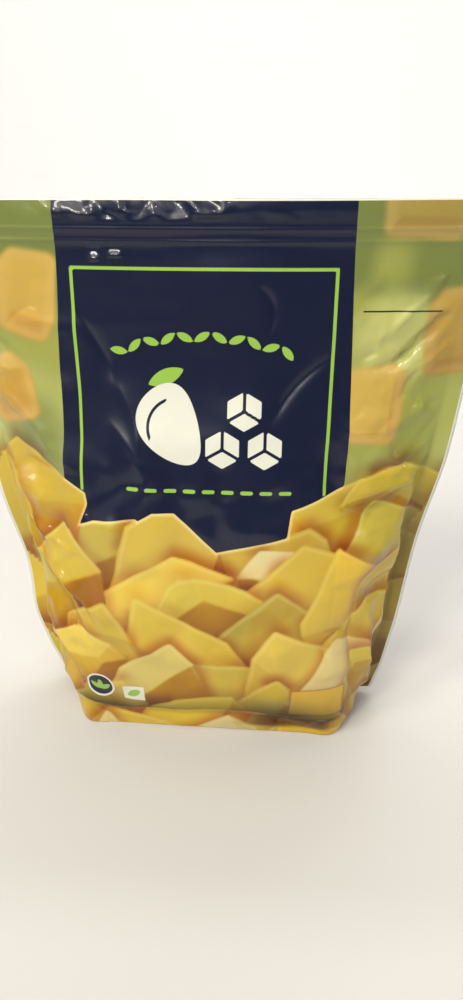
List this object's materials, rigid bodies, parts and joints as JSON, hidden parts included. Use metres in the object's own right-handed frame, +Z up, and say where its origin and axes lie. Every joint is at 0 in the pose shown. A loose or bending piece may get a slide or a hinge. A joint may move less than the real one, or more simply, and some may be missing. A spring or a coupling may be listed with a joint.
{
  "type": "stand-up food pouch",
  "caption": "Full, shut stand-up food pouch of glossy printed film, with flat side welds, a zip band below a straight top edge and a bottom gusset opened into a rim that it stands on.",
  "frame": {"origin": "on the floor, under the middle of the pouch's overall width and depth", "axes": "+Z up, along the pouch's height; X along its width; its printed front faces -Y"},
  "size_m": [0.225, 0.0744, 0.2523],
  "materials": {
    "film": "glossy printed film"
  },
  "bodies": {
    "root": {"pouch": "film"}
  },
  "joints": []
}
